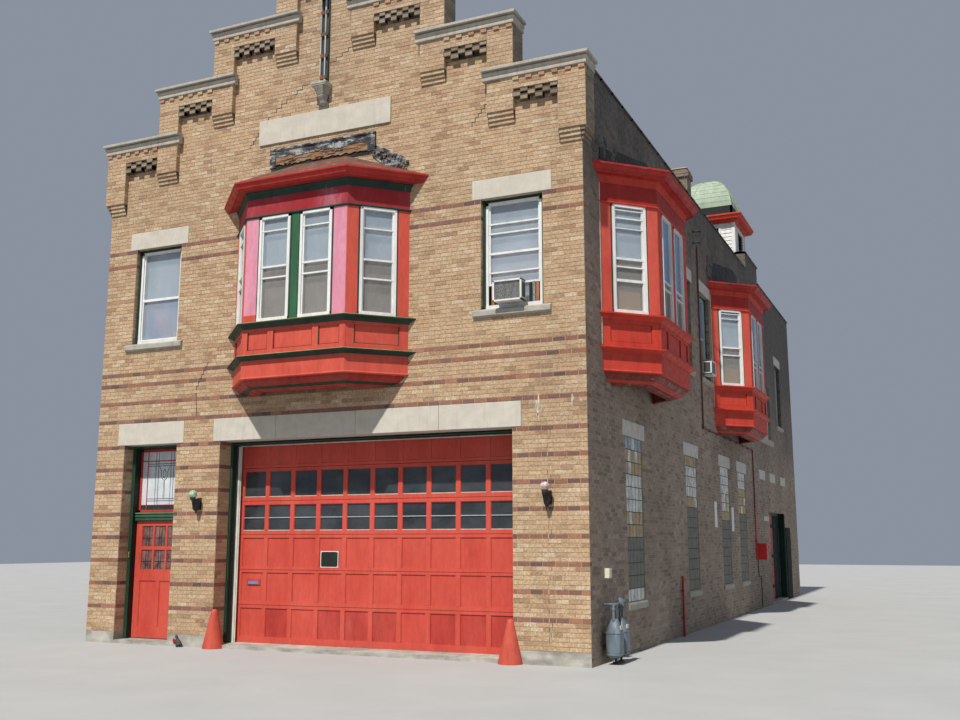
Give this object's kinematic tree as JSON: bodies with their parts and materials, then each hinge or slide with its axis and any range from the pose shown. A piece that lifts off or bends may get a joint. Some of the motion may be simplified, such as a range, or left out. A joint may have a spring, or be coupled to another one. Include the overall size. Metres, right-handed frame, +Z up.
{
  "type": "fire station building",
  "caption": "Two-storey brick fire station with a stepped gable, canted oriel bays, a wide closed garage door, a hinged entry door and a roof cupola.",
  "frame": {"origin": "centre of the main block's footprint, on the ground", "axes": "+Z up, -Y out of the street front with the gable, +X towards the side wall with the two bays"},
  "size_m": [10.785, 23.57, 14.69],
  "materials": {
    "concrete": "rough cast concrete",
    "floor_boards": "worn boards",
    "roofing": "felt and gravel",
    "front_brick": "buff brick with red-brown bands, weathered",
    "side_brick": "dark common brick, weathered",
    "coping_stone": "grey limestone, tooled",
    "parapet_tile": "clay coping tile",
    "pale_stone": "limestone, worn",
    "bay_paint": "old red gloss paint on sheet metal and wood",
    "brown_sheet": "brown roof sheet",
    "dark_sheet": "dark roof sheet",
    "white_sash": "white vinyl",
    "glass_block": "pressed glass blocks, partly painted over",
    "green_paint": "dark green paint",
    "door_red": "red paint",
    "guard_red": "red painted iron",
    "lamp_glass": "coloured and white globes",
    "white_steel": "off-white enamel",
    "dark_steel": "dark weathered paint",
    "white_boards": "white painted boards",
    "mint_sheet": "pale green painted sheet",
    "grey_steel": "grey enamel"
  },
  "bodies": {
    "building": {"floor_slab": "concrete", "concrete_base": "concrete", "upper_floor": "floor_boards", "roof_deck": "roofing", "front_pier_left": "front_brick", "front_pier_middle": "front_brick", "front_pier_right": "front_brick", "front_wall_upper": "front_brick", "gable_panels": "front_brick", "gable_coping": "coping_stone", "right_wall_front": "side_brick", "right_wall_rear": "side_brick", "right_wall_upper": "side_brick", "party_wall": "side_brick", "rear_wall": "side_brick", "parapet_coping": "parapet_tile", "door_lintels": "pale_stone", "window_lintels": "pale_stone", "window_sills": "pale_stone", "name_stone": "pale_stone", "front_bay": "bay_paint", "side_bay_front": "bay_paint", "side_bay_rear": "bay_paint", "front_bay_cornice": "bay_paint", "side_bay_cornices": "bay_paint", "front_bay_roof": "brown_sheet", "side_bay_roofs": "dark_sheet", "bay_windows": "white_sash", "upper_windows": "white_sash", "glass_block_windows": "glass_block", "garage_frame": "green_paint", "garage_door": "door_red", "entry_frame": "green_paint", "side_door_frame": "green_paint", "wall_lamps": "lamp_glass", "jamb_guards": "guard_red", "air_conditioners": "white_steel", "flagpole": "dark_steel", "chimney": "side_brick", "cupola": "white_boards", "cupola_dome": "mint_sheet", "gas_meters": "grey_steel", "alarm_box": "guard_red"},
    "entry_door": {"entry_door": "door_red"},
    "side_door": {"side_door": "door_red"}
  },
  "joints": [
    {"name": "entry_door_hinge", "type": "hinge", "parent": "building", "child": "entry_door", "pos_m": [-4.098, -10.825, 1.1], "axis": [0, 0, 1], "range_deg": [0, 95]},
    {"name": "side_door_hinge", "type": "hinge", "parent": "building", "child": "side_door", "pos_m": [4.545, 5.486, 1.3], "axis": [0, 0, 1], "range_deg": [0, 95]}
  ]
}
